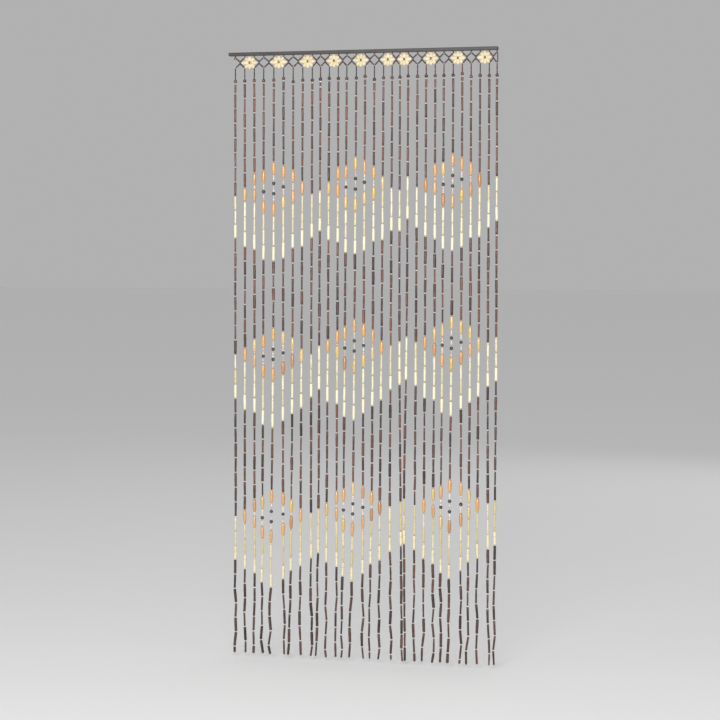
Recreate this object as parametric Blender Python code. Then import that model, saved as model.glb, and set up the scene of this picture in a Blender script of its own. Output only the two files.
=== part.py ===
"""Bead curtain on its hanging rail.

A slim wooden rail fixed under a lintel carries a curtain of beaded strings.
The strings cross each other under the rail in a beaded net, the heading,
and then hang down singly to one level.

Frame: +Z up, X along the rail, Y through the curtain, metres. The origin is
the middle of the rail's top face, the face that is screwed to the lintel.

The rail is one solid. The heading and its strings are one threaded piece,
so they are one solid too: a comb, with the net as its back and one tooth for
each string.
"""

from collections import namedtuple

import bmesh
import bpy
from mathutils import Vector
from mathutils.geometry import tessellate_polygon

# Rail
RAIL_LENGTH = 0.910
RAIL_DEPTH = 0.020
RAIL_HEIGHT = 0.011
RAIL_EDGE = 0.0012  # width of the chamfer along the rail's edges

# Curtain
CLEARANCE = 0.0003  # between the rail's underside and the tops of the net
DROP = 2.000  # from the rail's underside to the foot of every string
NET_HEIGHT = 0.040  # from the rail's underside to the knots where strings part
NET_BAR = 0.005  # width of a beaded diagonal in the net
TIE = 0.002  # from the net's top down to where two diagonals meet
FLOWER_POINT = 0.007  # how far a flower's lowest petal reaches below the knots
STRING_WIDTH = 0.007  # the tube beads' usual diameter
ROUNDING = 0.0016  # how far the front and back edges are cut to round the comb
SECTIONS = 8  # stretches in which each string's curve is followed

# Depths below the rail at which each string's place is known
MIDDLE = 0.975
LOW = 1.470

# Where each string hangs, in millimetres. place: along the rail from its
# middle. middle, low and foot: how far it has strayed along the rail from
# its place, at the depths MIDDLE, LOW and DROP.
String = namedtuple("String", "place middle low foot")
STRINGS = [
    String(-434, -2, -2, -5),
    String(-401, -2, -4, -5),
    String(-368, -1, -2, -2),
    String(-335, -4, -8, -12),
    String(-300, -4, -10, -18),
    String(-266, -4, -5, -3),
    String(-233, -4, -8, -16),
    String(-200, -6, -10, -15),
    String(-167, -5, -6, -5),
    String(-139, -6, -9, -17),
    String(-109, -6, -10, -15),
    String(-78, -5, -8, -9),
    String(-49, -8, -12, -18),
    String(-17, -8, -13, -23),
    String(13, -6, -8, -8),
    String(44, -6, -10, -18),
    String(75, -7, -12, -16),
    String(104, -5, -8, -5),
    String(130, -1, 3, 8),
    String(158, -6, -14, -11),
    String(189, -5, -8, -12),
    String(218, -4, -7, -11),
    String(248, -2, -5, -5),
    String(277, -5, -9, -11),
    String(308, -5, -10, -16),
    String(338, -3, -3, -4),
    String(367, -2, -5, -10),
    String(397, -4, -7, -9),
    String(427, -3, -2, 1),
    String(452, -1, -4, -6),
]

# The gaps, counted from the left, that a beaded flower fills. In every
# other gap the two strings simply cross.
FLOWER_GAPS = (2, 5, 8, 11, 14, 17, 19, 22, 25, 28)

# Heights of the net's parts, from the origin
NET_TOP = -RAIL_HEIGHT - CLEARANCE
TOP_KNOT = NET_TOP - TIE
LOW_KNOT = -RAIL_HEIGHT - NET_HEIGHT
CROSSING = (TOP_KNOT + LOW_KNOT) / 2


def clear_scene():
    for obj in list(bpy.data.objects):
        bpy.data.objects.remove(obj)


def material(name, colour, roughness):
    mat = bpy.data.materials.new(name)
    mat.use_nodes = True
    shader = mat.node_tree.nodes["Principled BSDF"]
    shader.inputs["Base Color"].default_value = (*colour, 1.0)
    shader.inputs["Roughness"].default_value = roughness
    shader.inputs["Metallic"].default_value = 0.0
    return mat


def add_object(name, bm, mat):
    """Links a closed mesh to the scene as one named object."""
    bmesh.ops.recalc_face_normals(bm, faces=bm.faces)
    mesh = bpy.data.meshes.new(name)
    bm.to_mesh(mesh)
    bm.free()
    mesh.materials.append(mat)
    obj = bpy.data.objects.new(name, mesh)
    bpy.context.scene.collection.objects.link(obj)
    return obj


def strayed(string, depth):
    """Metres along the rail where a string lies at a depth, on a smooth
    curve through its four known places."""
    depths = (0.0, MIDDLE, LOW, DROP)
    offsets = (0.0, string.middle, string.low, string.foot)
    chords = [
        (offsets[k + 1] - offsets[k]) / (depths[k + 1] - depths[k])
        for k in range(3)
    ]
    slopes = (
        chords[0],
        (chords[0] + chords[1]) / 2,
        (chords[1] + chords[2]) / 2,
        chords[2],
    )
    k = 0 if depth < MIDDLE else 1 if depth < LOW else 2
    span = depths[k + 1] - depths[k]
    t = (depth - depths[k]) / span
    offset = (
        offsets[k] * (1 + 2 * t) * (1 - t) ** 2
        + slopes[k] * span * t * (1 - t) ** 2
        + offsets[k + 1] * (3 - 2 * t) * t**2
        - slopes[k + 1] * span * t**2 * (1 - t)
    )
    return (string.place + offset) / 1000


def gap_shape(left, right):
    """A gap's crossing point, and how far a diagonal's edge lies from its
    middle line, measured along X and along Z."""
    run = (right - left) / 2
    rise = TOP_KNOT - CROSSING
    length = (run**2 + rise**2) ** 0.5
    across = NET_BAR / 2 * length / rise
    upright = NET_BAR / 2 * length / run
    return left + run, across, upright


def net_top_edge(places):
    """The comb's upper outline, left to right: a peak at each string where
    it is tied to the rail, a notch above each crossing, and a straight edge
    above each flower."""
    points = [(places[0] - STRING_WIDTH / 2, NET_TOP)]
    for gap, (left, right) in enumerate(zip(places, places[1:]), start=1):
        if gap in FLOWER_GAPS:
            continue
        middle, across, upright = gap_shape(left, right)
        slope = (TOP_KNOT - CROSSING) / (middle - left)
        peak = (TOP_KNOT + upright - NET_TOP) / slope
        points += [
            (left + peak, NET_TOP),
            (middle, CROSSING + upright),
            (right - peak, NET_TOP),
        ]
    points.append((places[-1] + STRING_WIDTH / 2, NET_TOP))
    return points


def tooth(string, shoulders):
    """One string's outline, from its right shoulder down and back up to its
    left one. A shoulder is the height where a side meets the net."""
    half = STRING_WIDTH / 2
    right_shoulder, left_shoulder = shoulders
    top = NET_HEIGHT + STRING_WIDTH
    depths = [top + (DROP - top) * n / SECTIONS for n in range(SECTIONS + 1)]
    right = [(strayed(string, d) + half, -RAIL_HEIGHT - d) for d in depths]
    left = [(strayed(string, d) - half, -RAIL_HEIGHT - d) for d in depths]
    place = strayed(string, 0.0)
    return [
        (place + half, right_shoulder),
        *right,
        *reversed(left),
        (place - half, left_shoulder),
    ]


def shoulder(places, gap):
    """The height where a string's side meets the net, next to a gap. Gap 0
    and the last one are the curtain's free edges."""
    if gap in (0, len(places)) or gap in FLOWER_GAPS:
        return LOW_KNOT - NET_BAR / 2
    middle, across, upright = gap_shape(places[gap - 1], places[gap])
    slope = (CROSSING - LOW_KNOT) / (middle - places[gap - 1])
    return LOW_KNOT - upright + STRING_WIDTH / 2 * slope


def lower_edge(places):
    """The comb's lower outline, right to left: the teeth, and between them
    the notch below each crossing or the point of each flower."""
    points = []
    for number in range(len(places), 0, -1):
        shoulders = (shoulder(places, number), shoulder(places, number - 1))
        points += tooth(STRINGS[number - 1], shoulders)
        gap = number - 1
        if gap == 0:
            continue
        middle, across, upright = gap_shape(places[gap - 1], places[gap])
        if gap in FLOWER_GAPS:
            points.append((middle, LOW_KNOT - FLOWER_POINT))
        else:
            points.append((middle, CROSSING - upright))
    return points


def diamond(place, left, right):
    """The opening round a string that crosses both its neighbours. left and
    right are the gap shapes on its two sides."""
    upright = max(left[2], right[2])
    return [
        (place, TOP_KNOT - upright),
        (right[0] - right[1], CROSSING),
        (place, LOW_KNOT + upright),
        (left[0] + left[1], CROSSING),
    ]


def half_diamond(place, neighbour):
    """The opening beside an edge string, which runs straight down from its
    peak to its knot. neighbour is the shape of the gap next to it."""
    middle, across, upright = neighbour
    side = 1 if middle > place else -1
    inner = place + side * STRING_WIDTH / 2
    slope = (TOP_KNOT - CROSSING) / abs(middle - place)
    drop = upright + STRING_WIDTH / 2 * slope
    return [
        (inner, TOP_KNOT - drop),
        (middle - side * across, CROSSING),
        (inner, LOW_KNOT + drop),
    ]


def openings(places):
    """The net's openings: a diamond round each string that crosses both its
    neighbours, and half a one along each free edge."""
    shapes = [gap_shape(*pair) for pair in zip(places, places[1:])]
    holes = [
        half_diamond(places[0], shapes[0]),
        half_diamond(places[-1], shapes[-1]),
    ]
    for gap in range(1, len(shapes)):
        if gap not in FLOWER_GAPS and gap + 1 not in FLOWER_GAPS:
            holes.append(diamond(places[gap], shapes[gap - 1], shapes[gap]))
    return holes


def build_rail():
    bm = bmesh.new()
    bmesh.ops.create_cube(bm, size=1.0)
    size = Vector((RAIL_LENGTH, RAIL_DEPTH, RAIL_HEIGHT))
    bmesh.ops.scale(bm, vec=size, verts=bm.verts)
    bmesh.ops.translate(bm, vec=(0, 0, -RAIL_HEIGHT / 2), verts=bm.verts)
    bmesh.ops.bevel(
        bm, geom=bm.edges, offset=RAIL_EDGE, segments=1, affect="EDGES"
    )
    wood = material("dark_stained_wood", (0.045, 0.034, 0.030), 0.5)
    return add_object("hanging_rail", bm, wood)


def build_comb():
    """Fills the comb's outline, gives it its thickness, and cuts its front
    and back edges back so that the teeth are eight-sided."""
    places = [string.place / 1000 for string in STRINGS]
    flat = STRING_WIDTH - 2 * ROUNDING
    loops = [net_top_edge(places) + lower_edge(places), *openings(places)]

    bm = bmesh.new()
    corners = [bm.verts.new((x, -flat / 2, z)) for loop in loops for x, z in loop]
    outline = [[Vector((x, z, 0)) for x, z in loop] for loop in loops]
    for triangle in tessellate_polygon(outline):
        bm.faces.new([corners[i] for i in triangle])

    made = bmesh.ops.extrude_face_region(bm, geom=bm.faces[:])
    moved = [g for g in made["geom"] if isinstance(g, bmesh.types.BMVert)]
    bmesh.ops.translate(bm, vec=(0, flat, 0), verts=moved)
    bmesh.ops.recalc_face_normals(bm, faces=bm.faces)
    bmesh.ops.inset_region(
        bm,
        faces=[face for face in bm.faces if abs(face.normal.y) > 0.9],
        thickness=ROUNDING,
        depth=ROUNDING,
        use_even_offset=True,
        use_boundary=True,
    )
    bamboo = material("stained_bamboo", (0.115, 0.062, 0.046), 0.55)
    return add_object("bead_strings", bm, bamboo)


if __name__ == "__main__":
    clear_scene()
    build_rail()
    build_comb()
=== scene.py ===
"""Bamboo bead curtain: the beads, threads, wood and stage, round the curtain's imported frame.

Lengths in the tables are in millimetres and depths are measured down from the rail's underside.
Everything that is built is in metres, with the origin in the middle of the rail's top face.
"""

import math
import random
from typing import NamedTuple

import bmesh
import bpy
from bpy.props import FloatProperty, FloatVectorProperty, IntProperty, PointerProperty
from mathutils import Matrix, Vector


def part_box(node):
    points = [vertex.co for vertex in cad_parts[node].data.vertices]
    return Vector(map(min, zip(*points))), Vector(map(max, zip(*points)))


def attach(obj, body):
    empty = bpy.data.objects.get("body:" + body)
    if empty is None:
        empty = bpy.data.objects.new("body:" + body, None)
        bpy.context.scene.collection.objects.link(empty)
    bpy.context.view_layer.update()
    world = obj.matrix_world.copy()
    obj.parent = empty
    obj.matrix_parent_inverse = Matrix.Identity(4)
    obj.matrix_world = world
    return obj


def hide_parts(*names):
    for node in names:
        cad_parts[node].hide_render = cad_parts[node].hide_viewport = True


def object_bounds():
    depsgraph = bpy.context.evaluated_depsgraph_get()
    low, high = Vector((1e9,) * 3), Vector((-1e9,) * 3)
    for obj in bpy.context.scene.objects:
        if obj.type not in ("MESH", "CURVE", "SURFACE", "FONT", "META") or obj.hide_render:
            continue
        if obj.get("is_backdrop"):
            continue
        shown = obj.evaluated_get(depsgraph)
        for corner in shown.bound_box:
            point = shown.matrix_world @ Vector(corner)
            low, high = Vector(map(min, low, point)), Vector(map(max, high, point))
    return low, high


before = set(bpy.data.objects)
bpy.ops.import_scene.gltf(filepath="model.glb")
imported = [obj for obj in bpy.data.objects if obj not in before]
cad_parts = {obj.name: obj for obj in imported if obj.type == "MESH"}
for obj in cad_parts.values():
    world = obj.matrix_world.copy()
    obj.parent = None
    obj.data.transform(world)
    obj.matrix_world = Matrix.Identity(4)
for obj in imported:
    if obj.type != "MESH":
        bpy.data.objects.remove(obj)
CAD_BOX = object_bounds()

bl_info = {
    "name": "Bead Curtain",
    "version": (1, 0, 0),
    "blender": (4, 5, 0),
    "location": "3D View > Sidebar > Bead Curtain",
    "description": "Threads a bamboo bead curtain under its hanging rail",
    "category": "Object",
}

MM = 0.001
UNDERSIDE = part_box("hanging_rail")[0].z  # height of the rail's underside

# ---------------------------------------------------------------- the pattern

DROP = 2000  # depth of every string's foot
NET_HEIGHT = 40  # depth of the knots where the strings leave the net
TIE = 6.5  # depth of the net's upper knots
CROSSING = 22.5  # depth at which two diagonals cross
CROSSING_BEAD = 6.4  # length of the upright tube at a crossing
EDGE_LEFT = -3  # how far the net's edge threads hang outside the first string and the last
EDGE_RIGHT = 2
MIDDLE = 975  # depths at which each string's place is known
LOW = 1470
COLLAR = 12  # length of the round collar bead
DROP_PITCH = 3.6  # usual length of the small beads above it
FOOT_ROOM = 4  # left for the knot below the last tube

# The view the stage is set for.
AIM = Vector((-0.005, 0, -0.911))
LENS = 105.3
SHIFT = -0.045


class String(NamedTuple):
    """One string. place is measured along the rail, and middle, low and foot are how far the string has
    strayed from it at those depths. collar is the depth of its round collar bead. The other columns are
    the depths at which its colour turns, from dark to pale and back, in three bands."""

    place: float
    middle: float
    low: float
    foot: float
    collar: float
    pale_1: float
    dark_2: float
    pale_2: float
    dark_3: float
    pale_3: float
    dark_4: float


STRINGS = (
    String(-434, -2, -2, -5, 84, 464, 602, 992, 1139, 1537, 1681),
    String(-401, -2, -4, -5, 83, 435, 631, 969, 1177, 1514, 1712),
    String(-368, -1, -2, -2, 82, 384, 641, 939, 1185, 1475, 1724),
    String(-335, -4, -8, -12, 83, 377, 675, 925, 1226, 1466, 1754),
    String(-300, -4, -10, -18, 82, 350, 679, 901, 1235, 1444, 1770),
    String(-266, -4, -5, -3, 77, 361, 669, 913, 1211, 1452, 1741),
    String(-233, -4, -8, -16, 89, 377, 636, 933, 1186, 1473, 1710),
    String(-200, -6, -10, -15, 84, 415, 631, 971, 1167, 1503, 1695),
    String(-167, -5, -6, -5, 85, 458, 601, 988, 1130, 1517, 1667),
    String(-139, -6, -9, -17, 82, 447, 579, 960, 1104, 1502, 1649),
    String(-109, -6, -10, -15, 80, 417, 609, 938, 1145, 1480, 1678),
    String(-78, -5, -8, -9, 81, 368, 617, 908, 1151, 1440, 1692),
    String(-49, -8, -12, -18, 82, 364, 651, 894, 1193, 1431, 1723),
    String(-17, -8, -13, -23, 81, 336, 655, 870, 1203, 1410, 1739),
    String(13, -6, -8, -8, 76, 348, 645, 885, 1180, 1420, 1711),
    String(44, -6, -10, -18, 87, 367, 614, 904, 1155, 1439, 1679),
    String(75, -7, -12, -16, 82, 401, 609, 941, 1135, 1470, 1664),
    String(104, -5, -8, -5, 82, 440, 579, 958, 1100, 1487, 1635),
    String(130, -1, 3, 8, 81, 447, 580, 942, 1083, 1470, 1614),
    String(158, -6, -14, -11, 78, 403, 541, 926, 1067, 1461, 1608),
    String(189, -5, -8, -12, 80, 438, 568, 944, 1086, 1481, 1625),
    String(218, -4, -7, -11, 79, 409, 597, 923, 1126, 1459, 1655),
    String(248, -2, -5, -5, 79, 361, 606, 894, 1132, 1420, 1670),
    String(277, -5, -9, -11, 79, 357, 639, 881, 1174, 1412, 1699),
    String(308, -5, -10, -16, 78, 329, 644, 857, 1183, 1391, 1717),
    String(338, -3, -3, -4, 74, 341, 633, 871, 1160, 1400, 1689),
    String(367, -2, -5, -10, 84, 358, 603, 889, 1137, 1422, 1659),
    String(397, -4, -7, -9, 81, 393, 599, 926, 1118, 1450, 1646),
    String(427, -3, -2, 1, 82, 434, 570, 944, 1084, 1466, 1615),
    String(452, -1, -4, -6, 81, 406, 547, 926, 1067, 1457, 1602),
)

# The net has a flower between these strings and the next ones, and crossed diagonals between all others.
FLOWERS = (2, 5, 8, 11, 14, 17, 19, 22, 25, 28)
STOPPED = (11, 19, 20, 23, 26, 27)  # strings whose foot has a black stop bead


class Band(NamedTuple):
    """One colour band of the strings: its kind of tube, how thin and thick its tubes are, where they lie
    between the darkest and lightest tone of their kind, and which end of the band takes the short filler
    tube. The lower bands take darker tones, which is painted shade over the tubes' own spread of colour."""

    kind: str
    thin: float
    thick: float
    darkest: float
    lightest: float
    filler: str


# The tone ranges step darker band by band towards the foot: painted shade that deepens down the curtain, over
# the tubes' own random spread of stain within each band.
BANDS = (
    Band("dark", 5.6, 8.2, 0.25, 1.0, "top"),
    Band("pale", 5.4, 7.8, 0.35, 1.0, "none"),
    Band("dark", 5.2, 9.6, 0.15, 1.0, "none"),
    Band("pale", 5.4, 8.0, 0.30, 0.95, "none"),
    Band("dark", 5.2, 9.6, 0.0, 0.9, "none"),
    Band("pale", 5.4, 8.4, 0.0, 0.6, "none"),
    Band("dark", 5.8, 9.8, 0.0, 0.65, "foot"),
)

# A diamond motif hangs round each of these strings in every pale band. Its charts run down a string from
# the start of the band, by how far the string is from the middle one: A an amber oval, K a black round
# bead, s a seed bead. The strings two to the left and right of the middle have a chart for each band.
MOTIF_CENTRES = (5, 14, 25)
MOTIF = {
    0: "AssssKssssKssssA",
    1: "AssssKssssA",
    3: "A",
}
MOTIF_LEFT = ("AssA", "AsA", "AssA")
MOTIF_RIGHT = ("AssssA", "AssA", "AssA")

# ------------------------------------------------------------------- settings


class TubeSettings(bpy.types.PropertyGroup):
    """Bamboo tubes and how they hang."""

    pitch: FloatProperty(
        name="Pitch",
        description="Length of one tube and the seed bead above it",
        default=0.0488,
        unit="LENGTH",
    )
    bend: FloatProperty(
        name="Bend",
        description="How far a tube's wood wanders from a straight line",
        default=0.0011,
        unit="LENGTH",
    )
    swell: FloatProperty(
        name="Swell",
        description="How much a tube's girth goes in and out along it",
        default=0.0011,
        unit="LENGTH",
    )
    sway: FloatProperty(
        name="Sway",
        description="How far the joints near the foot lean off a string's line",
        default=0.0042,
        unit="LENGTH",
    )
    dark: FloatVectorProperty(
        name="Darkest Stain",
        description="Colour of the darkest stained tubes",
        default=(0.020, 0.0095, 0.0075),
        subtype="COLOR",
    )
    red: FloatVectorProperty(
        name="Lightest Stain",
        description="Colour of the lightest stained tubes",
        default=(0.150, 0.054, 0.036),
        subtype="COLOR",
    )
    straw: FloatVectorProperty(
        name="Yellowest Bamboo",
        description="Colour of the yellowest plain tubes",
        default=(0.560, 0.460, 0.200),
        subtype="COLOR",
    )
    cream: FloatVectorProperty(
        name="Palest Bamboo",
        description="Colour of the palest plain tubes",
        default=(0.800, 0.730, 0.520),
        subtype="COLOR",
    )


class BeadSettings(bpy.types.PropertyGroup):
    """Wooden ovals, round beads and seed beads."""

    oval_length: FloatProperty(
        name="Oval Length",
        description="Length of an amber oval",
        default=0.044,
        unit="LENGTH",
    )
    oval_girth: FloatProperty(
        name="Oval Girth",
        description="Diameter of an amber oval",
        default=0.0122,
        unit="LENGTH",
    )
    round_girth: FloatProperty(
        name="Round Girth",
        description="Diameter of a round bead",
        default=0.012,
        unit="LENGTH",
    )
    seed_pitch: FloatProperty(
        name="Seed Pitch",
        description="Length that one seed bead of a motif takes up",
        default=0.0055,
        unit="LENGTH",
    )
    amber: FloatVectorProperty(
        name="Amber",
        description="Colour of the varnished ovals",
        default=(0.660, 0.355, 0.115),
        subtype="COLOR",
    )
    black: FloatVectorProperty(
        name="Black",
        description="Colour of the round beads",
        default=(0.016, 0.011, 0.009),
        subtype="COLOR",
    )


class NetSettings(bpy.types.PropertyGroup):
    """The beaded net that heads the strings."""

    bar_girth: FloatProperty(
        name="Bar Girth",
        description="Diameter of the net's short tubes",
        default=0.0046,
        unit="LENGTH",
    )
    petal_width: FloatProperty(
        name="Petal Width",
        description="Width of a flower's petal beads",
        default=0.0128,
        unit="LENGTH",
    )
    petal: FloatVectorProperty(
        name="Petal",
        description="Colour of the petal beads",
        default=(0.620, 0.520, 0.310),
        subtype="COLOR",
    )


class ThreadSettings(bpy.types.PropertyGroup):
    """Thread and rail."""

    thickness: FloatProperty(
        name="Thickness",
        description="Diameter of the thread",
        default=0.0012,
        unit="LENGTH",
    )
    flax: FloatVectorProperty(
        name="Flax",
        description="Colour of the thread",
        default=(0.560, 0.470, 0.330),
        subtype="COLOR",
    )
    rail: FloatVectorProperty(
        name="Rail Stain",
        description="Colour of the stained rail",
        default=(0.028, 0.024, 0.022),
        subtype="COLOR",
    )


class StageSettings(bpy.types.PropertyGroup):
    """Camera, lights and floor."""

    azimuth: FloatProperty(
        name="Azimuth",
        description="How far round to the right of the curtain the camera stands",
        default=math.radians(14.74),
        subtype="ANGLE",
    )
    elevation: FloatProperty(
        name="Elevation",
        description="How far up the camera stands",
        default=math.radians(2.2),
        subtype="ANGLE",
    )
    distance: FloatProperty(
        name="Distance",
        description="From the camera to the curtain",
        default=6.937,
        unit="LENGTH",
    )
    backdrop: FloatProperty(
        name="Backdrop Grey",
        description="Brightness of the plain surroundings",
        default=0.44,
        min=0.0,
        max=1.0,
    )
    key: IntProperty(
        name="Key Light",
        description="Power of the broad light by the camera, in watts",
        default=600,
        min=0,
    )
    fill: IntProperty(
        name="Back Light",
        description="Power of the broad light behind the curtain, in watts",
        default=25,
        min=0,
    )


class CurtainSettings(bpy.types.PropertyGroup):
    """All the curtain's settings."""

    tubes: PointerProperty(type=TubeSettings)
    beads: PointerProperty(type=BeadSettings)
    net: PointerProperty(type=NetSettings)
    thread: PointerProperty(type=ThreadSettings)
    stage: PointerProperty(type=StageSettings)


# ------------------------------------------------------------ where beads lie


class Bead(NamedTuple):
    """One bead: the piece it belongs to, its two ends in metres, its width and depth in millimetres, and
    its place between the darkest and lightest of its kind."""

    piece: str
    top: Vector
    bottom: Vector
    width: float
    depth: float
    tone: float


def below_rail(x, y, depth):
    """A point from millimetres along the rail, millimetres to the back and depth below the rail."""
    return Vector((x * MM, y * MM, UNDERSIDE - depth * MM))


def strayed(string, depth):
    """How far along the rail a string is at a depth: a smooth curve through its known places."""
    depths = (0, MIDDLE, LOW, DROP)
    strays = (0, string.middle, string.low, string.foot)
    chords = [(strays[k + 1] - strays[k]) / (depths[k + 1] - depths[k]) for k in range(3)]
    slopes = (chords[0], (chords[0] + chords[1]) / 2, (chords[1] + chords[2]) / 2, chords[2])
    k = 0 if depth < MIDDLE else 1 if depth < LOW else 2
    span = depths[k + 1] - depths[k]
    t = (depth - depths[k]) / span
    stray = strays[k] * (1 + 2 * t) * (1 - t) ** 2 + slopes[k] * span * t * (1 - t) ** 2
    stray += strays[k + 1] * (3 - 2 * t) * t**2 - slopes[k + 1] * span * t**2 * (1 - t)
    return string.place + stray


class Strand:
    """One string of the curtain, with its beads threaded in order from the net to the foot."""

    SEED = 4.4  # length of the seed bead above every tube
    STRAIGHT = 1560  # depth from which the joints lean more and more
    SHORTEST = 14  # length of the shortest filler tube worth cutting
    PAIR = (19, 20)  # strings that hang side by side at the foot, so they lean less

    def __init__(self, number, settings):
        self.number = number
        self.string = STRINGS[number - 1]
        self.settings = settings
        self.pitch = settings.tubes.pitch / MM
        self.dice = random.Random(number)
        self.threaded = []
        self.joints = [NET_HEIGHT]
        self.thread_drop()
        levels = (self.string.collar + COLLAR / 2, *self.string[5:], DROP - FOOT_ROOM)
        for row, band in enumerate(BANDS):
            start = levels[row]
            if band.kind == "pale":
                start = self.thread_motif(row, start)
            self.thread_tubes(row, band, start, levels[row + 1])
        self.thread_foot()
        self.joints.append(DROP)
        self.leans = [self.lean(depth) for depth in self.joints]

    def add(self, piece, start, length, girth, tone):
        """Threads one bead from a depth down, and says where it ends."""
        self.threaded.append((piece, start, start + length, girth, tone))
        return start + length

    def thread_drop(self):
        """The run of small dark beads below the net, and the round collar bead under it."""
        depth = NET_HEIGHT + 1.0
        end = self.string.collar - COLLAR / 2
        count = round((end - depth) / DROP_PITCH)
        pitch = (end - depth) / count
        stain = self.dice.random()
        for _ in range(count):
            tone = min(1, max(0, stain + self.dice.uniform(-0.3, 0.3)))
            depth = self.add("drop_beads", depth, pitch, self.dice.uniform(4.0, 5.2), tone)
        self.add("collar_beads", depth, COLLAR, self.dice.uniform(11.4, 12.6), self.dice.random())

    def thread_motif(self, row, start):
        """The motif's beads at the head of a pale band, where the string is part of a motif."""
        offset = min((self.number - centre for centre in MOTIF_CENTRES), key=abs)
        if abs(offset) > 3:
            return start
        chart = MOTIF.get(abs(offset))
        if chart is None:
            chart = (MOTIF_LEFT if offset < 0 else MOTIF_RIGHT)[row // 2]
        beads = self.settings.beads
        depth = start + 2
        for letter in chart:
            if letter == "A":
                self.joints.append(depth)
                girth = beads.oval_girth / MM * self.dice.uniform(0.9, 1.06)
                depth = self.add("amber_ovals", depth, beads.oval_length / MM, girth, self.dice.random())
                self.joints.append(depth)
            elif letter == "K":
                girth = beads.round_girth / MM * self.dice.uniform(0.95, 1.05)
                depth = self.add("motif_rounds", depth, girth, girth, self.dice.random())
            else:
                tone = self.dice.uniform(0.2, 1)
                girth = self.dice.uniform(4.6, 5.4)
                depth = self.add("seed_beads", depth, beads.seed_pitch / MM, girth, tone)
        return depth

    def tube_lengths(self, band, span):
        """How a band's span is shared between whole tubes and, at one end, a short filler tube."""
        if band.filler == "none":
            count = max(1, round(span / self.pitch))
            return [span / count] * count
        whole = int(span / self.pitch)
        spare = span - whole * self.pitch
        if spare < self.SHORTEST:
            return [span / whole] * whole
        lengths = [self.pitch] * whole
        lengths.insert(0 if band.filler == "top" else whole, spare)
        return lengths

    def thread_tubes(self, row, band, start, end):
        """A band's tubes, each under a seed bead."""
        depth = start
        lengths = self.tube_lengths(band, end - start)
        stout = self.dice.random() < 0.5
        for index, length in enumerate(lengths):
            self.joints.append(depth + self.SEED / 2)
            depth = self.add("joint_seeds", depth, self.SEED, self.dice.uniform(3.2, 4.4), self.dice.random())
            share = self.dice.uniform(0.0, 0.55) + (0.45 if stout else 0)
            stout = self.dice.random() < (0.25 if stout else 0.6)
            # The band's range carries painted shade, darker in the lower bands, besides the tube's own random
            # tone.
            tone = self.dice.uniform(band.darkest, band.lightest)
            girth = band.thin + share * (band.thick - band.thin)
            if band.kind == "pale" and index == len(lengths) - 1:
                girth = band.thick + 1.2
                tone = band.lightest
            depth = self.add(f"{band.kind}_tubes_{row // 2 + 1}", depth, length - self.SEED, girth, tone)

    def thread_foot(self):
        """What keeps the beads on the string: a stop bead on some strings, a knot on all."""
        if self.number in STOPPED:
            self.add("stop_beads", DROP - 6, 5.6, 6.2, self.dice.random())

    def lean(self, depth):
        """How far a joint leans off the string's line, in millimetres along the rail and to the back."""
        loose = max(0, depth - self.STRAIGHT) / (DROP - self.STRAIGHT)
        reach = 0.35 + self.settings.tubes.sway / MM * loose
        if self.number in self.PAIR:
            reach *= 0.35
        side = 3.2 * (depth / DROP) ** 2 * (-1) ** self.number
        return self.dice.uniform(-reach, reach), side + self.dice.uniform(-reach, reach) / 2

    def at(self, depth):
        """The point of the thread at a depth: straight from joint to joint."""
        k = 0
        while k < len(self.joints) - 2 and self.joints[k + 1] < depth:
            k += 1
        upper, lower = self.joints[k], self.joints[k + 1]
        t = min(1, max(0, (depth - upper) / (lower - upper)))
        x = (1 - t) * (strayed(self.string, upper) + self.leans[k][0])
        x += t * (strayed(self.string, lower) + self.leans[k + 1][0])
        y = (1 - t) * self.leans[k][1] + t * self.leans[k + 1][1]
        return below_rail(x, y, depth)

    def beads(self):
        """Every bead on the string."""
        for piece, start, end, girth, tone in self.threaded:
            yield Bead(piece, self.at(start), self.at(end), girth, girth, tone)


def strands(settings):
    """All the strings, in order along the rail."""
    return [Strand(number, settings) for number in range(1, len(STRINGS) + 1)]


def string_beads(settings, *pieces):
    """The beads of the strings that belong to the pieces named, by piece."""
    found = {piece: [] for piece in pieces}
    for strand in strands(settings):
        for bead in strand.beads():
            if bead.piece in found:
                found[bead.piece].append(bead)
    return found


def gap_middle(gap):
    """Place along the rail of the middle between string number gap and the next one."""
    return (STRINGS[gap - 1].place + STRINGS[gap].place) / 2


def edges():
    """Places along the rail of the net's two edge threads."""
    return STRINGS[0].place + EDGE_LEFT, STRINGS[-1].place + EDGE_RIGHT


def bar(piece, start, end, count, girth, dice):
    """Short tubes end to end from one point of the net to another."""
    step = (end - start) / count
    nick = step.normalized() * 0.25 * MM
    for index in range(count):
        near = start + step * index + nick
        far = start + step * (index + 1) - nick
        upper, lower = (near, far) if near.z > far.z else (far, near)
        width = girth * dice.uniform(0.92, 1.1)
        yield Bead(piece, upper, lower, width, width, dice.uniform(0.0, 0.55))


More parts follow.
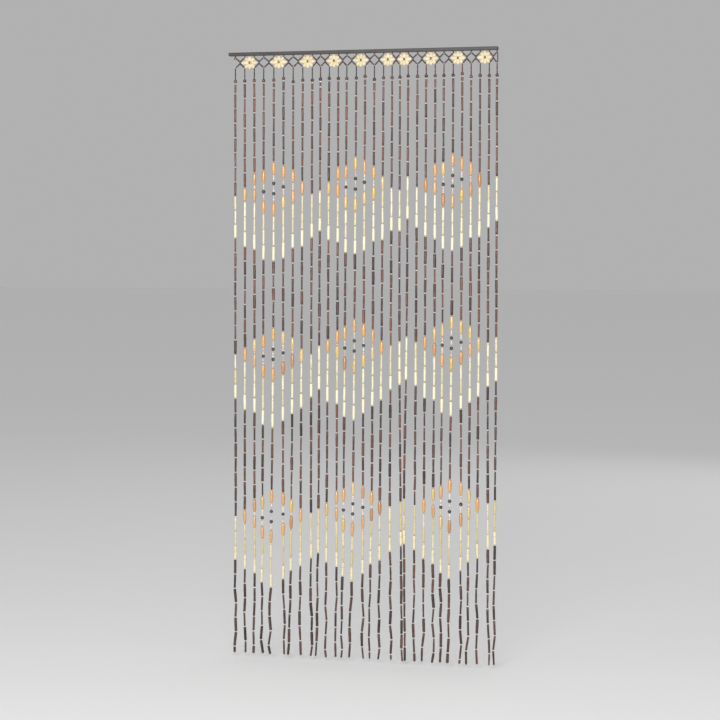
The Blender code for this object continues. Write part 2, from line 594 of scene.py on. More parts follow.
def net_beads(settings):
    """The dark beads of the net: a stub under the rail at each string, and crossed bars between strings."""
    dice = random.Random(71)
    girth = settings.net.bar_girth / MM
    for string in STRINGS:
        top, knot = below_rail(string.place, 0, 0.4), below_rail(string.place, 0, TIE)
        yield from bar("net_tubes", top, knot, 1, girth, dice)
    for gap in range(1, len(STRINGS)):
        if gap in FLOWERS:
            continue
        middle = gap_middle(gap)
        high = below_rail(middle, 0, CROSSING - CROSSING_BEAD / 2)
        low = below_rail(middle, 0, CROSSING + CROSSING_BEAD / 2)
        yield from bar("net_tubes", high, low, 1, girth, dice)
        for string in (STRINGS[gap - 1], STRINGS[gap]):
            aside = 1.6 if string.place < middle else -1.6
            knot = below_rail(string.place + aside, 0, TIE + 1)
            yield from bar("net_tubes", knot, high + Vector((0, 0, -0.4 * MM)), 2, girth, dice)
            knot = below_rail(string.place + aside, 0, NET_HEIGHT - 1)
            yield from bar("net_tubes", low + Vector((0, 0, 0.4 * MM)), knot, 2, girth, dice)
    left, right = edges()
    thin = girth * 0.8
    yield from bar("net_tubes", below_rail(left, 0, TIE), below_rail(left, 0, TIE + 6), 1, thin, dice)
    yield from bar("net_tubes", below_rail(right, 0, TIE), below_rail(right, 0, NET_HEIGHT), 4, thin, dice)


def flower_beads(settings):
    """The petal beads and centre bead of every flower, spread to fill its hexagon of the net."""
    dice = random.Random(72)
    width = settings.net.petal_width / MM
    for gap in FLOWERS:
        left, right = STRINGS[gap - 1].place, STRINGS[gap].place
        middle = (left + right) / 2
        centre = below_rail(middle, 0, CROSSING)
        tips = (
            (gap_middle(gap + 1) - 5 if gap < len(STRINGS) - 1 else right + 9, CROSSING),
            (right, TIE),
            (middle, 1.0),
            (left, TIE),
            (gap_middle(gap - 1) + 5, CROSSING),
            (left, NET_HEIGHT),
            (middle, NET_HEIGHT + 4),
            (right, NET_HEIGHT),
        )
        for index, (x, depth) in enumerate(tips):
            layer = Vector((0, (1.2 if index % 2 else -1.2) * MM, 0))
            tip = below_rail(x, 0, depth) + layer
            inner = centre + layer + (tip - centre - layer).normalized() * 2.2 * MM
            upper, lower = (tip, inner) if tip.z >= inner.z else (inner, tip)
            yield Bead("flower_petals", upper, lower, width, 4.2, dice.random())
        for y in (-3.2, 3.2):
            high, low = below_rail(middle, y, CROSSING - 4), below_rail(middle, y, CROSSING + 4)
            yield Bead("flower_centres", high, low, 5.2, 3.6, dice.random())


# ------------------------------------------------------- node trees and sums


class Term:
    """A socket of a node tree. Sums written with it add the Math nodes they need."""

    def __init__(self, tree, socket):
        self.tree = tree
        self.socket = socket

    def combined(self, operation, first, second):
        return self.tree.add("ShaderNodeMath", {"operation": operation}, {0: first, 1: second})

    def __add__(self, other):
        return self.combined("ADD", self, other)

    __radd__ = __add__

    def __sub__(self, other):
        return self.combined("SUBTRACT", self, other)

    def __rsub__(self, other):
        return self.combined("SUBTRACT", other, self)

    def __mul__(self, other):
        return self.combined("MULTIPLY", self, other)

    __rmul__ = __mul__

    def __abs__(self):
        return self.combined("ABSOLUTE", self, 0.0)


class Tree:
    """A node tree, and the one way in which nodes are put into it."""

    def __init__(self, tree):
        self.tree = tree

    def add(self, kind, settings=None, inputs=None, output=0):
        """A node of that kind, its settings first and then the values or links of its sockets."""
        node = self.tree.nodes.new(kind)
        for name, value in (settings or {}).items():
            if name == "stops":
                self.set_stops(node.color_ramp, value)
            else:
                setattr(node, name, value)
        for name, value in (inputs or {}).items():
            if isinstance(value, Term):
                self.tree.links.new(value.socket, node.inputs[name])
            else:
                node.inputs[name].default_value = value
        return Term(self, node.outputs[output]) if node.outputs else node

    @staticmethod
    def set_stops(ramp, stops):
        """A ramp's stops, as pairs of a position and a colour."""
        while len(ramp.elements) < len(stops):
            ramp.elements.new(1)
        for element, (position, colour) in zip(ramp.elements, stops):
            element.position = position
            element.color = (*colour, 1)


class Finish(Tree):
    """A material, with the masks and patterns that the finishes share."""

    def __init__(self, name, **constants):
        self.material = bpy.data.materials.new(name)
        self.material.use_nodes = True
        super().__init__(self.material.node_tree)
        self.shader = self.tree.nodes["Principled BSDF"]
        for socket, value in constants.items():
            self.shader.inputs[socket.replace("_", " ")].default_value = value

    def feed(self, **terms):
        """Links terms to the shader's own sockets."""
        for socket, term in terms.items():
            self.tree.links.new(term.socket, self.shader.inputs[socket.replace("_", " ")])
        return self.material

    def attribute(self, name):
        """A number that every bead carries."""
        return self.add("ShaderNodeAttribute", {"attribute_name": name}, output="Fac")

    def place(self, scale):
        """The piece's own coordinates, stretched by a scale in each direction."""
        coordinates = self.add("ShaderNodeTexCoord", output="Object")
        return self.add("ShaderNodeMapping", inputs={"Vector": coordinates, "Scale": scale})

    def noise(self, scale, shift=0.0, detail=3.0):
        """Cloudy noise from 0 to 1, stretched by a scale, different for every shift."""
        inputs = {"Vector": self.place(scale), "W": shift, "Scale": 1.0, "Detail": detail}
        return self.add("ShaderNodeTexNoise", {"noise_dimensions": "4D"}, inputs)

    def ramp(self, term, *stops):
        """A colour for a number."""
        return self.add("ShaderNodeValToRGB", {"stops": stops}, {"Fac": term})

    def step(self, term, low, high):
        """A soft step from 0 below low to 1 above high."""
        inputs = {"Value": term, "From Min": low, "From Max": high}
        return self.add("ShaderNodeMapRange", {"interpolation_type": "SMOOTHSTEP"}, inputs)

    def mix(self, mask, below, above, how="MIX"):
        """One colour where the mask is 0 and the other where it is 1."""
        colours = [value if isinstance(value, Term) else (*value, 1) for value in (below, above)]
        settings = {"data_type": "RGBA", "blend_type": how}
        return self.add("ShaderNodeMix", settings, {0: mask, 6: colours[0], 7: colours[1]}, output=2)

    def bump(self, height, strength, distance):
        """A normal from a height."""
        inputs = {"Strength": strength, "Distance": distance, "Height": height}
        return self.add("ShaderNodeBump", inputs=inputs)


def dark_bamboo(settings):
    """Stained bamboo: streaks of the stain along the fibres, burnt ends, a knuckle on some tubes."""
    finish = Finish("dark_bamboo", Coat_Weight=0.35, Coat_Roughness=0.22, Specular_IOR_Level=0.5)
    tone, along = finish.attribute("tone"), finish.attribute("along")
    fibres = finish.noise((1500, 1500, 45), tone * 60)
    clouds = finish.noise((70, 70, 50), tone * 90, detail=2.0)
    stain = tone + (clouds - 0.5) * 0.9 + (fibres - 0.5) * 0.7
    base = finish.mix(finish.step(stain, 0.0, 1.1), settings.tubes.dark, settings.tubes.red)
    knuckle = 1 - finish.step(abs(along - (tone * 2.2 - 1.1)), 0.01, 0.05)
    ends = finish.step(abs(along), 0.93, 1.0)
    base = finish.mix((ends + knuckle) * 0.75, base, (0.010, 0.006, 0.005))
    rough = fibres * 0.25 + 0.30
    height = fibres + knuckle * 0.8
    return finish.feed(Base_Color=base, Roughness=rough, Normal=finish.bump(height, 0.55, 0.0005))


def pale_bamboo(settings):
    """Plain bamboo: cream to straw, brown flecks along the fibres, greener in patches."""
    finish = Finish("pale_bamboo", Coat_Weight=0.2, Coat_Roughness=0.3, Specular_IOR_Level=0.45)
    tone, along = finish.attribute("tone"), finish.attribute("along")
    fibres = finish.noise((1400, 1400, 50), tone * 60)
    clouds = finish.noise((60, 60, 45), tone * 90, detail=2.0)
    ripeness = tone + (clouds - 0.5) * 0.8
    base = finish.mix(finish.step(ripeness, 0.0, 1.0), settings.tubes.straw, settings.tubes.cream)
    base = finish.mix(finish.step(clouds, 0.56, 0.75) * 0.35, base, (0.46, 0.48, 0.22))
    base = finish.mix(finish.step(fibres, 0.56, 0.72) * 0.45, base, (0.40, 0.27, 0.11))
    knuckle = 1 - finish.step(abs(along - (tone * 2.2 - 1.1)), 0.01, 0.045)
    ends = finish.step(abs(along), 0.955, 1.0)
    base = finish.mix(knuckle * 0.6 + ends * 0.5, base, (0.33, 0.22, 0.10))
    rough = fibres * 0.25 + 0.35
    height = fibres + knuckle
    return finish.feed(Base_Color=base, Roughness=rough, Normal=finish.bump(height, 0.45, 0.0004))


def amber_wood(settings):
    """Varnished wood in honey, ochre and brown, with the grain running down the bead, and painted shade
    towards its tips.
    """
    finish = Finish("amber_wood", Coat_Weight=0.9, Coat_Roughness=0.12, Specular_IOR_Level=0.5)
    tone, along = finish.attribute("tone"), finish.attribute("along")
    amber = settings.beads.amber
    hue = finish.ramp(
        tone,
        (0.0, (0.42, 0.19, 0.065)),
        (0.25, amber),
        (0.70, amber),
        (0.80, (0.62, 0.47, 0.15)),
        (1.0, (0.70, 0.52, 0.22)),
    )
    grain = finish.noise((520, 520, 32), tone * 70, detail=4.0)
    pores = finish.noise((2600, 2600, 120), tone * 50, detail=2.0)
    base = finish.mix(finish.step(grain, 0.42, 0.68) * 0.55, hue, (0.34, 0.135, 0.04))
    base = finish.mix(finish.step(pores, 0.60, 0.72) * 0.5, base, (0.17, 0.065, 0.025))
    # Painted shade: each oval darkens towards its two tips, where its surface turns away from the light.
    base = finish.mix(finish.step(abs(along), 0.82, 1.0) * 0.55, base, (0.26, 0.11, 0.04))
    rough = grain * 0.2 + 0.28
    return finish.feed(Base_Color=base, Roughness=rough, Normal=finish.bump(pores, 0.25, 0.0002))


def black_bead(settings):
    """Lacquered wood, near black, with a little brown showing through."""
    finish = Finish("black_bead", Coat_Weight=1.0, Coat_Roughness=0.1, Specular_IOR_Level=0.5)
    tone = finish.attribute("tone")
    grain = finish.noise((500, 500, 110), tone * 60)
    base = finish.mix(finish.step(grain, 0.45, 0.75) * 0.6, settings.beads.black, (0.075, 0.036, 0.024))
    rough = grain * 0.2 + 0.22
    return finish.feed(Base_Color=base, Roughness=rough, Normal=finish.bump(grain, 0.2, 0.0002))


def collar_wood(settings):
    """Round beads stained from near black to red brown."""
    finish = Finish("collar_wood", Coat_Weight=0.8, Coat_Roughness=0.15, Specular_IOR_Level=0.5)
    tone = finish.attribute("tone")
    grain = finish.noise((600, 600, 90), tone * 60)
    hue = finish.ramp(
        tone,
        (0.0, settings.beads.black),
        (0.45, (0.045, 0.022, 0.015)),
        (1.0, (0.13, 0.042, 0.03)),
    )
    base = finish.mix(finish.step(grain, 0.5, 0.75) * 0.5, hue, (0.02, 0.010, 0.008))
    rough = grain * 0.25 + 0.25
    return finish.feed(Base_Color=base, Roughness=rough, Normal=finish.bump(grain, 0.25, 0.0002))


def clear_seed():
    """Glass seed beads, from clear peach to milky white."""
    finish = Finish("clear_seed", Coat_Weight=0.6, Coat_Roughness=0.08, Transmission_Weight=0.15, IOR=1.5)
    tone = finish.attribute("tone")
    cloud = finish.noise((380, 380, 380), tone * 40, detail=1.0)
    hue = finish.ramp(tone, (0.0, (0.36, 0.28, 0.22)), (0.4, (0.62, 0.50, 0.38)), (0.85, (0.86, 0.80, 0.70)))
    base = finish.mix(cloud * 0.25, hue, (0.80, 0.72, 0.60))
    return finish.feed(Base_Color=base, Roughness=cloud * 0.2 + 0.12)


def dark_seed():
    """Opaque seed beads in black, grey brown and dark red."""
    finish = Finish("dark_seed", Coat_Weight=0.5, Coat_Roughness=0.12, Specular_IOR_Level=0.5)
    tone = finish.attribute("tone")
    cloud = finish.noise((300, 300, 300), tone * 40, detail=1.0)
    hue = finish.ramp(
        tone,
        (0.0, (0.022, 0.020, 0.022)),
        (0.35, (0.040, 0.026, 0.020)),
        (0.65, (0.075, 0.040, 0.024)),
        (1.0, (0.160, 0.045, 0.030)),
    )
    base = finish.mix(cloud * 0.4, hue, (0.05, 0.04, 0.036))
    return finish.feed(Base_Color=base, Roughness=cloud * 0.25 + 0.2)


def petal_wood(settings):
    """Bleached wood cut with fine lines across each petal."""
    finish = Finish("petal_wood", Coat_Weight=0.15, Coat_Roughness=0.3, Specular_IOR_Level=0.4)
    tone, along = finish.attribute("tone"), finish.attribute("along")
    grain = finish.noise((700, 700, 700), tone * 40)
    stripes = finish.add("ShaderNodeMath", {"operation": "SINE"}, {0: along * 34})
    cuts = finish.step(stripes, 0.72, 0.95)
    base = finish.mix(tone * 0.5 + grain * 0.3, settings.net.petal, (0.74, 0.66, 0.45))
    base = finish.mix(finish.step(grain, 0.58, 0.75) * 0.35, base, (0.42, 0.30, 0.13))
    base = finish.mix(cuts * 0.4, base, (0.33, 0.24, 0.12))
    rough = grain * 0.2 + 0.45
    return finish.feed(Base_Color=base, Roughness=rough, Normal=finish.bump(1 - cuts, 0.4, 0.0004))


def flax_thread(settings):
    """Twisted thread: strands that wind round it, with painted shade in the grooves between them, so they are
    lighter on their crowns.
    """
    finish = Finish("flax_thread", Specular_IOR_Level=0.3, Sheen_Weight=0.2)
    place = finish.place((900, 900, 1500))
    twist_and_groove_shade = finish.add(
        "ShaderNodeTexWave",
        {"wave_type": "BANDS", "bands_direction": "DIAGONAL"},
        {"Vector": place, "Scale": 1.0, "Distortion": 0.6},
        output="Fac",
    )
    # Painted shade: the thread's colour falls to six tenths in the grooves between the strands, leaving the
    # crowns at the full colour.
    base = finish.mix(twist_and_groove_shade, tuple(channel * 0.6 for channel in settings.thread.flax), settings.thread.flax)
    return finish.feed(Base_Color=base, Roughness=twist_and_groove_shade * 0.1 + 0.7, Normal=finish.bump(twist_and_groove_shade, 0.5, 0.0002))


def rail_wood(settings):
    """Dark stained batten: grain along it, open pores, the stain rubbed thin in places."""
    finish = Finish("rail_wood", Coat_Weight=0.15, Coat_Roughness=0.35, Specular_IOR_Level=0.45)
    grain = finish.noise((14, 420, 420), 3.0, detail=6.0)
    pores = finish.noise((60, 1800, 1800), 5.0, detail=3.0)
    wear = finish.noise((18, 60, 60), 8.0, detail=4.0)
    base = finish.mix(finish.step(grain, 0.35, 0.7), settings.thread.rail, (0.055, 0.046, 0.042))
    base = finish.mix(finish.step(pores, 0.56, 0.7) * 0.7, base, (0.010, 0.009, 0.009))
    base = finish.mix(finish.step(wear, 0.58, 0.72) * 0.35, base, (0.11, 0.09, 0.08))
    rough = grain * 0.3 + 0.4
    return finish.feed(Base_Color=base, Roughness=rough, Normal=finish.bump(grain - pores * 0.6, 0.4, 0.0004))


def studio_floor():
    """Plain pale floor, very slightly uneven in tone."""
    finish = Finish("studio_floor", Specular_IOR_Level=0.2)
    cloud = finish.noise((3, 3, 3), 1.0, detail=2.0)
    base = finish.mix(cloud, (0.97, 0.97, 0.97), (0.985, 0.985, 0.98))
    return finish.feed(Base_Color=base, Roughness=cloud * 0.05 + 0.8)


# --------------------------------------------------------- shapes of one bead

# Half outlines of the beads, as pairs of a height from -1 to 1 and a share of the radius. The last two
# points are the ends of the bore.
TUBE = (
    (-1.0, 0.84),
    (-0.97, 1.0),
    (-0.45, 0.96),
    (0.15, 1.03),
    (0.62, 0.97),
    (0.97, 1.02),
    (1.0, 0.84),
    (1.0, 0.36),
    (-1.0, 0.36),
)
SHORT_TUBE = ((-1.0, 0.8), (-0.9, 1.0), (0.0, 1.03), (0.9, 1.0), (1.0, 0.8), (1.0, 0.36), (-1.0, 0.36))
OVAL = (
    (-1.0, 0.36),
    (-0.95, 0.56),
    (-0.78, 0.80),
    (-0.45, 0.96),
    (0.0, 1.0),
    (0.45, 0.97),
    (0.78, 0.82),
    (0.95, 0.57),
    (1.0, 0.36),
    (1.0, 0.17),
    (-1.0, 0.17),
)
PETAL = (
    (-1.0, 0.16),
    (-0.86, 0.45),
    (-0.5, 0.86),
    (0.0, 1.0),
    (0.5, 0.86),
    (0.86, 0.45),
    (1.0, 0.16),
    (1.0, 0.08),
    (-1.0, 0.08),
)
SEED = ((-1.0, 0.58), (-0.62, 0.93), (0.0, 1.02), (0.62, 0.93), (1.0, 0.58), (1.0, 0.34), (-1.0, 0.34))


def round_outline(steps=9, bore=0.24):
    """Half outline of a round bead with a bore through it."""
    opening = math.asin(bore * 1.25)
    outline = []
    for step in range(steps):
        angle = opening + (math.pi - 2 * opening) * step / (steps - 1)
        outline.append((-math.cos(angle), math.sin(angle)))
    height = math.cos(opening)
    return (*outline, (height, bore), (-height, bore))


def skinned(name, rings):
    """An object with one closed skin over rings of points, the last of which joins the first. Its vertices
    carry their height as the attribute along."""
    mesh = bpy.data.meshes.new(name)
    shape = bmesh.new()
    rings = [[shape.verts.new(point) for point in ring] for ring in rings]
    for ring, following in zip(rings, rings[1:] + rings[:1]):
        for side in range(len(ring)):
            onward = (side + 1) % len(ring)
            shape.faces.new((ring[side], ring[onward], following[onward], following[side]))
    bmesh.ops.recalc_face_normals(shape, faces=shape.faces)
    shape.to_mesh(mesh)
    shape.free()
    heights = mesh.attributes.new("along", "FLOAT", "POINT")
    for vertex, value in zip(mesh.vertices, heights.data):
        value.value = vertex.co.z
    pattern = bpy.data.objects.new(name, mesh)
    bpy.context.collection.objects.link(pattern)
    return pattern


def turned(name, outline, sides):
    """A bead turned from its half outline, outside and bore."""
    angles = [2 * math.pi * side / sides for side in range(sides)]
    rings = [
        [(radius * math.cos(angle), radius * math.sin(angle), height) for angle in angles]
        for height, radius in outline
    ]
    return skinned(name, rings)


def overhand_knot(name, around=30, sides=6):
    """A small overhand knot, its loops drawn close."""
    line = []
    for step in range(around):
        turn = 2 * math.pi * step / around
        x = math.sin(turn) + 2 * math.sin(2 * turn)
        y = math.cos(turn) - 2 * math.cos(2 * turn)
        line.append(Vector((x / 4, y / 4, -math.sin(3 * turn) * 0.45)))
    rings = []
    for step, point in enumerate(line):
        ahead = (line[(step + 1) % around] - line[step - 1]).normalized()
        across = ahead.cross(Vector((0, 0, 1))).normalized()
        up = across.cross(ahead)
        angles = [2 * math.pi * side / sides for side in range(sides)]
        rings.append([point + (across * math.cos(a) + up * math.sin(a)) * 0.27 for a in angles])
    return skinned(name, rings)


# -------------------------------------------------------- threading the beads


def threading_tree():
    """Geometry nodes that put one bead on every point of a mesh. A point carries its bead's heading, size
    and tone. The beads are turned at random, and their wood is bent and swollen a little."""
    group = bpy.data.node_groups.new("bead_threading", "GeometryNodeTree")
    names = (
        ("Places", "NodeSocketGeometry"),
        ("Bead", "NodeSocketObject"),
        ("Finish", "NodeSocketMaterial"),
        ("Seed", "NodeSocketInt"),
        ("Turn", "NodeSocketFloat"),
        ("Bend", "NodeSocketFloat"),
        ("Swell", "NodeSocketFloat"),
    )
    for name, kind in names:
        group.interface.new_socket(name, in_out="INPUT", socket_type=kind)
    group.interface.new_socket("Beads", in_out="OUTPUT", socket_type="NodeSocketGeometry")
    tree = Tree(group)
    given = group.nodes.new("NodeGroupInput")
    wanted = {name: Term(tree, given.outputs[name]) for name, _ in names}

    def carried(name, kind):
        return tree.add("GeometryNodeInputNamedAttribute", {"data_type": kind}, {"Name": name})

    bead = tree.add("GeometryNodeObjectInfo", inputs={"Object": wanted["Bead"]}, output="Geometry")
    heading = carried("heading", "FLOAT_VECTOR")
    aligned = tree.add("FunctionNodeAlignRotationToVector", {"axis": "Z"}, {"Vector": heading})
    angle = tree.add(
        "FunctionNodeRandomValue",
        {"data_type": "FLOAT"},
        {2: 0.0, 3: wanted["Turn"], "Seed": wanted["Seed"]},
        output=1,
    )
    spin = tree.add("FunctionNodeAxisAngleToRotation", inputs={"Axis": (0, 0, 1), "Angle": angle})
    turned_round = tree.add(
        "FunctionNodeRotateRotation",
        {"rotation_space": "LOCAL"},
        {"Rotation": aligned, "Rotate By": spin},
    )
    threaded = tree.add(
        "GeometryNodeInstanceOnPoints",
        inputs={
            "Points": wanted["Places"],
            "Instance": bead,
            "Rotation": turned_round,
            "Scale": carried("size", "FLOAT_VECTOR"),
        },
    )
    real = tree.add("GeometryNodeRealizeInstances", inputs={"Geometry": threaded})
    position = tree.add("GeometryNodeInputPosition")
    tone = carried("tone", "FLOAT")
    wander = tree.add(
        "ShaderNodeTexNoise",
        {"noise_dimensions": "4D"},
        {"Vector": position, "W": tone * 50, "Scale": 26.0, "Detail": 0.0},
        output="Color",
    )
    wander = tree.add("ShaderNodeVectorMath", {"operation": "SUBTRACT"}, {0: wander, 1: (0.5, 0.5, 0.5)})
    wander = tree.add("ShaderNodeVectorMath", {"operation": "SCALE"}, {0: wander, "Scale": wanted["Bend"]})
    flattened = tree.add("ShaderNodeVectorMath", {"operation": "MULTIPLY"}, {0: position, 1: (1, 1, 55)})
    girth = tree.add(
        "ShaderNodeTexNoise",
        {"noise_dimensions": "4D"},
        {"Vector": flattened, "W": tone * 70, "Scale": 1.0, "Detail": 1.0},
    )
    outward = tree.add("GeometryNodeInputNormal")
    swell = tree.add(
        "ShaderNodeVectorMath",
        {"operation": "SCALE"},
        {0: outward, "Scale": (girth - 0.5) * wanted["Swell"]},
    )
    offset = tree.add("ShaderNodeVectorMath", {"operation": "ADD"}, {0: wander, 1: swell})
    shaped = tree.add("GeometryNodeSetPosition", inputs={"Geometry": real, "Offset": offset})
    finished = tree.add("GeometryNodeSetMaterial", inputs={"Geometry": shaped, "Material": wanted["Finish"]})
    tree.add("NodeGroupOutput", inputs={"Beads": finished})
    return group


def threading():
    """The threading tree, made the first time it is needed."""
    return bpy.data.node_groups.get("bead_threading") or threading_tree()


def thread_beads(name, beads, pattern, finish, seed=1, turn=2 * math.pi, bend=0.0, swell=0.0):
    """One piece: a bead of the pattern's shape at every place, as a plain mesh in its finish."""
    if not beads:
        raise RuntimeError(f"{name}: no beads to thread")
    mesh = bpy.data.meshes.new(name + "_places")
    mesh.from_pydata([(bead.top + bead.bottom) / 2 for bead in beads], [], [])
    for carried, kind in (("heading", "FLOAT_VECTOR"), ("size", "FLOAT_VECTOR"), ("tone", "FLOAT")):
        mesh.attributes.new(carried, kind, "POINT")
    headings, sizes, tones = (mesh.attributes[carried] for carried in ("heading", "size", "tone"))
    for index, bead in enumerate(beads):
        run = bead.top - bead.bottom
        headings.data[index].vector = run.normalized()
        sizes.data[index].vector = (bead.width * MM / 2, bead.depth * MM / 2, run.length / 2)
        tones.data[index].value = bead.tone
    piece = bpy.data.objects.new(name, mesh)
    bpy.context.collection.objects.link(piece)
    modifier = piece.modifiers.new("Threading", "NODES")
    modifier.node_group = threading()
    values = {"Bead": pattern, "Finish": finish, "Seed": seed, "Turn": turn, "Bend": bend, "Swell": swell}
    for socket in modifier.node_group.interface.items_tree:
        if socket.in_out == "INPUT" and socket.name in values:
            modifier[socket.identifier] = values[socket.name]
    graph = bpy.context.evaluated_depsgraph_get()
    beaded = bpy.data.meshes.new_from_object(piece.evaluated_get(graph), depsgraph=graph)
    piece.modifiers.clear()
    piece.data = beaded
    beaded.name = name
    beaded.shade_smooth()
    beaded.set_sharp_from_angle(angle=math.radians(48))
    bpy.data.meshes.remove(mesh)
    return hang(piece)


def hang(piece):
    """The piece hangs with the curtain and stands for its plain strings."""
    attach(piece, "root")
    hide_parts("bead_strings")
    return piece


def put_away(pattern):
    """Takes a bead's pattern away once its beads are threaded."""
    mesh = pattern.data
    bpy.data.objects.remove(pattern)
    bpy.data.meshes.remove(mesh)


def thread_line(name, lines, thickness, finish):
    """A thread, or several in one piece, along straight runs from point to point."""
    curve = bpy.data.curves.new(name, "CURVE")
    curve.dimensions = "3D"
    curve.bevel_depth = thickness / 2
    curve.bevel_resolution = 1
    curve.use_fill_caps = True
    for points in lines:
        spline = curve.splines.new("POLY")
        spline.points.add(len(points) - 1)
        for point, place in zip(spline.points, points):
            point.co = (*place, 1)
    curve.materials.append(finish)
    piece = bpy.data.objects.new(name, curve)
    bpy.context.collection.objects.link(piece)
    return piece


# ------------------------------------------------------------------ operators


class SetStage(bpy.types.Operator):
    """Places the camera, the soft lights, the pale floor and the plain surroundings"""

    bl_idname = "bead_curtain.set_stage"
    bl_label = "Set Stage"

    FLOOR_DROP = 0.014  # from the curtain's foot down to the floor
    FLOOR_REACH = 60.0
    LIGHT_SIZE = 4.0

    def execute(self, context):
        settings = context.scene.bead_curtain.stage
        level = math.cos(settings.elevation)
        toward = Vector(
            (
                math.sin(settings.azimuth) * level,
                -math.cos(settings.azimuth) * level,
                math.sin(settings.elevation),
            )
        )
        camera = bpy.data.objects.new("camera", bpy.data.cameras.new("camera"))
        camera.data.lens = LENS
        camera.data.shift_y = SHIFT
        camera.location = AIM + toward * settings.distance
        camera.rotation_euler = toward.to_track_quat("Z", "Y").to_euler()
        context.collection.objects.link(camera)
        context.scene.camera = camera
        self.light(context, "key_light", AIM + toward * 8.2 + Vector((-1.2, 0, 1.6)), settings.key)
        self.light(context, "back_light", AIM + Vector((1.5, 6.0, 2.2)), settings.fill)
        self.surround(context, settings.backdrop)
        self.lay_floor(context)
        context.scene.view_settings.view_transform = "Standard"
        return {"FINISHED"}

    @staticmethod
    def light(context, name, place, power):
        """A broad soft light that faces the curtain and isn't seen itself."""
        lamp = bpy.data.lights.new(name, "AREA")
        lamp.shape = "SQUARE"
        lamp.size = SetStage.LIGHT_SIZE
        lamp.energy = power
        light = bpy.data.objects.new(name, lamp)
        light.location = place
        light.rotation_euler = (place - AIM).to_track_quat("Z", "Y").to_euler()
        light.visible_camera = False
        context.collection.objects.link(light)

    @staticmethod
    def surround(context, grey):
        """An even grey all round."""
        world = bpy.data.worlds.new("studio")
        world.use_nodes = True
        world.node_tree.nodes["Background"].inputs["Color"].default_value = (grey, grey, grey * 1.01, 1)
        context.scene.world = world

    def lay_floor(self, context):
        """A floor that reaches far enough to have no edge in view."""
        height = CAD_BOX[0].z - self.FLOOR_DROP
        mesh = bpy.data.meshes.new("floor")
        signs = ((-1, -1), (1, -1), (1, 1), (-1, 1))
        corners = [(x * self.FLOOR_REACH, y * self.FLOOR_REACH, height) for x, y in signs]
        mesh.from_pydata(corners, [], [(0, 1, 2, 3)])
        mesh.materials.append(studio_floor())
        floor = bpy.data.objects.new("floor", mesh)
        context.collection.objects.link(floor)
        floor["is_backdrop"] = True


class PullThreads(bpy.types.Operator):
    """Pulls a thread down every string, from its knot under the net to the knot at its foot"""

    bl_idname = "bead_curtain.pull_threads"
    bl_label = "Pull Threads"

    def execute(self, context):
        settings = context.scene.bead_curtain
        thickness = settings.thread.thickness
        finish = flax_thread(settings)
        ends = []
        for strand in strands(settings):
            points = [strand.at(depth) for depth in strand.joints]
            thread = thread_line(f"thread_{strand.number:02d}", [points], thickness, finish)
            hang(thread)
            length = sum((b - a).length for a, b in zip(points, points[1:]))
            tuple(points[0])
            foot = points[-1]
            ends.append(Bead("foot_knots", foot + Vector((0, 0, 2.4 * MM)), foot, 3.4, 3.4, 0.5))
        pattern = overhand_knot("knot_pattern")
        thread_beads("foot_knots", ends, pattern, finish, seed=3)
        put_away(pattern)
        return {"FINISHED"}


class HangRail(bpy.types.Operator):
    """Stains the wooden rail that the net hangs from"""

    bl_idname = "bead_curtain.hang_rail"
    bl_label = "Hang Rail"

    def execute(self, context):
        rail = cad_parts["hanging_rail"]
        rail.data.materials.clear()
        rail.data.materials.append(rail_wood(context.scene.bead_curtain))
        return {"FINISHED"}


class KnotNet(bpy.types.Operator):
    """Knots the net under the rail: its threads and its short dark tubes"""

    bl_idname = "bead_curtain.knot_net"
    bl_label = "Knot Net"

    def execute(self, context):
        settings = context.scene.bead_curtain
        self.knot_threads(settings)
        pattern = turned("short_tube_pattern", SHORT_TUBE, 9)
        beads = list(net_beads(settings))
        thread_beads("net_tubes", beads, pattern, dark_bamboo(settings), seed=5, swell=0.0004)
        put_away(pattern)
        return {"FINISHED"}

    @staticmethod
    def knot_threads(settings):
        """Threads from the rail through each knot and crossing of the net."""
        lines = []
        for string in STRINGS:
            lines.append([below_rail(string.place, 0, 0.2), below_rail(string.place, 0, TIE)])
        for gap in range(1, len(STRINGS)):
            left, right = STRINGS[gap - 1].place, STRINGS[gap].place
            middle = gap_middle(gap)
            for start, end in ((left, right), (right, left)):
                high, low = below_rail(start, 0, TIE), below_rail(end, 0, NET_HEIGHT)
                above, under = below_rail(middle, 0, CROSSING - 3), below_rail(middle, 0, CROSSING + 3)
                lines.append([high, above, under, low])
        for x in edges():
            lines.append([below_rail(x, 0, 0.2), below_rail(x, 0, NET_HEIGHT)])
        finish = bpy.data.materials.get("flax_thread") or flax_thread(settings)
        hang(thread_line("net_threads", lines, settings.thread.thickness, finish))


class SewFlowers(bpy.types.Operator):
    """Sews a flower of eight petal beads round a dark centre bead into the net's wide gaps"""

    bl_idname = "bead_curtain.sew_flowers"
    bl_label = "Sew Flowers"

    def execute(self, context):
        settings = context.scene.bead_curtain
        beads = list(flower_beads(settings))
        petals = [bead for bead in beads if bead.piece == "flower_petals"]
        centres = [bead for bead in beads if bead.piece == "flower_centres"]
        pattern = turned("petal_pattern", PETAL, 12)
        finish = petal_wood(settings)
        thread_beads("flower_petals", petals, pattern, finish, turn=0, swell=0.0003)
        put_away(pattern)
        pattern = turned("centre_pattern", OVAL, 10)
        thread_beads("flower_centres", centres, pattern, black_bead(settings), turn=0)
        put_away(pattern)
        return {"FINISHED"}


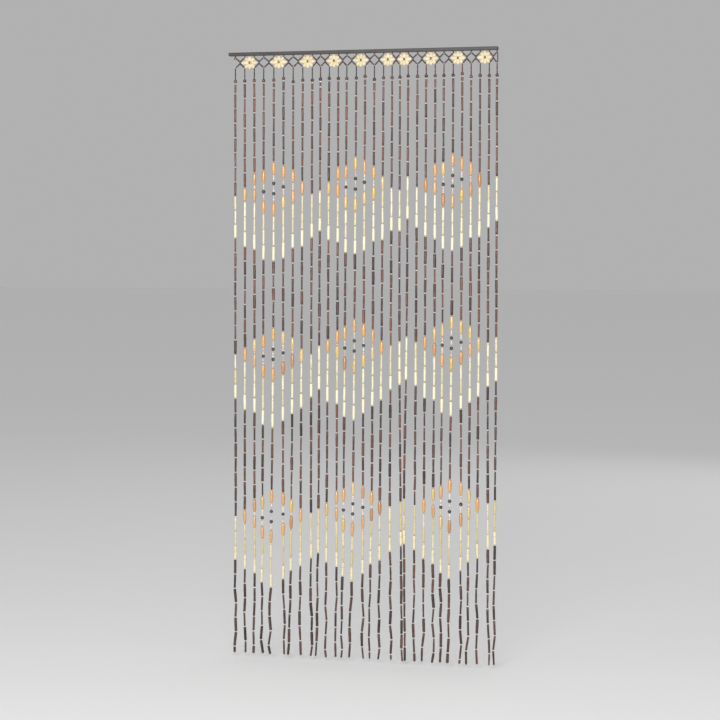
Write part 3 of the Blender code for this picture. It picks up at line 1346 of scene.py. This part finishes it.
class ThreadDrops(bpy.types.Operator):
    """Threads the run of small beads and the round collar bead at the head of every string"""

    bl_idname = "bead_curtain.thread_drops"
    bl_label = "Thread Drops"

    def execute(self, context):
        settings = context.scene.bead_curtain
        drops, collars = string_beads(settings, "drop_beads", "collar_beads").values()
        pattern = turned("drop_pattern", SEED, 8)
        thread_beads("drop_beads", drops, pattern, dark_seed(), seed=7, swell=0.0003)
        put_away(pattern)
        pattern = turned("collar_pattern", round_outline(), 14)
        finish = collar_wood(settings)
        thread_beads("collar_beads", collars, pattern, finish, seed=8, swell=0.0005)
        put_away(pattern)
        return {"FINISHED"}


class ThreadTubes(bpy.types.Operator):
    """Threads the bands of dark and pale bamboo tubes"""

    bl_idname = "bead_curtain.thread_tubes"
    bl_label = "Thread Tubes"

    def execute(self, context):
        settings = context.scene.bead_curtain
        names = [f"{band.kind}_tubes_{row // 2 + 1}" for row, band in enumerate(BANDS)]
        beads = string_beads(settings, *names)
        finishes = {"dark": dark_bamboo(settings), "pale": pale_bamboo(settings)}
        pattern = turned("tube_pattern", TUBE, 10)
        for name in names:
            kind = name.split("_")[0]
            thread_beads(
                name,
                beads[name],
                pattern,
                finishes[kind],
                seed=11,
                bend=settings.tubes.bend,
                swell=settings.tubes.swell,
            )
        put_away(pattern)
        return {"FINISHED"}


class ThreadMotifs(bpy.types.Operator):
    """Threads the amber ovals and black round beads of the diamond motifs, and the stop beads"""

    bl_idname = "bead_curtain.thread_motifs"
    bl_label = "Thread Motifs"

    def execute(self, context):
        settings = context.scene.bead_curtain
        beads = string_beads(settings, "amber_ovals", "motif_rounds", "stop_beads")
        pattern = turned("oval_pattern", OVAL, 14)
        finish = amber_wood(settings)
        ovals = beads["amber_ovals"]
        thread_beads("amber_ovals", ovals, pattern, finish, seed=13, swell=0.0006)
        put_away(pattern)
        pattern = turned("round_pattern", round_outline(), 14)
        finish = black_bead(settings)
        for name in ("motif_rounds", "stop_beads"):
            thread_beads(name, beads[name], pattern, finish, seed=14, swell=0.0003)
        put_away(pattern)
        return {"FINISHED"}


class ThreadSeeds(bpy.types.Operator):
    """Threads the glass seed beads of the motifs and of the joints between tubes"""

    bl_idname = "bead_curtain.thread_seeds"
    bl_label = "Thread Seeds"

    def execute(self, context):
        settings = context.scene.bead_curtain
        beads = string_beads(settings, "seed_beads", "joint_seeds")
        pattern = turned("seed_pattern", SEED, 8)
        finish = clear_seed()
        for name in ("seed_beads", "joint_seeds"):
            thread_beads(name, beads[name], pattern, finish, seed=17, swell=0.0002)
        put_away(pattern)
        return {"FINISHED"}


class CurtainPanel(bpy.types.Panel):
    """The curtain's steps and settings"""

    bl_idname = "VIEW3D_PT_bead_curtain"
    bl_label = "Bead Curtain"
    bl_space_type = "VIEW_3D"
    bl_region_type = "UI"
    bl_category = "Bead Curtain"

    def draw(self, context):
        for step in STEPS:
            self.layout.operator(step.bl_idname)
        settings = context.scene.bead_curtain
        for group in (settings.tubes, settings.beads, settings.net, settings.thread, settings.stage):
            box = self.layout.box()
            for name in group.bl_rna.properties.keys():
                if name not in ("rna_type", "name"):
                    box.prop(group, name)


# The steps, in the order in which they are carried out.
STEPS = (
    SetStage,
    PullThreads,
    HangRail,
    KnotNet,
    SewFlowers,
    ThreadDrops,
    ThreadTubes,
    ThreadMotifs,
    ThreadSeeds,
)
SETTINGS = (TubeSettings, BeadSettings, NetSettings, ThreadSettings, StageSettings, CurtainSettings)
CLASSES = (*SETTINGS, *STEPS, CurtainPanel)


def register():
    for cls in CLASSES:
        bpy.utils.register_class(cls)
    bpy.types.Scene.bead_curtain = PointerProperty(type=CurtainSettings)


def unregister():
    del bpy.types.Scene.bead_curtain
    for cls in reversed(CLASSES):
        bpy.utils.unregister_class(cls)


def main():
    """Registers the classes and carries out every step."""
    register()
    for step in STEPS:
        getattr(bpy.ops.bead_curtain, step.bl_idname.split(".")[1])()
    boxes = {"cad": CAD_BOX, "visual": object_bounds()}
    {name: [list(corner) for corner in box] for name, box in boxes.items()}


if __name__ == "__main__":
    main()
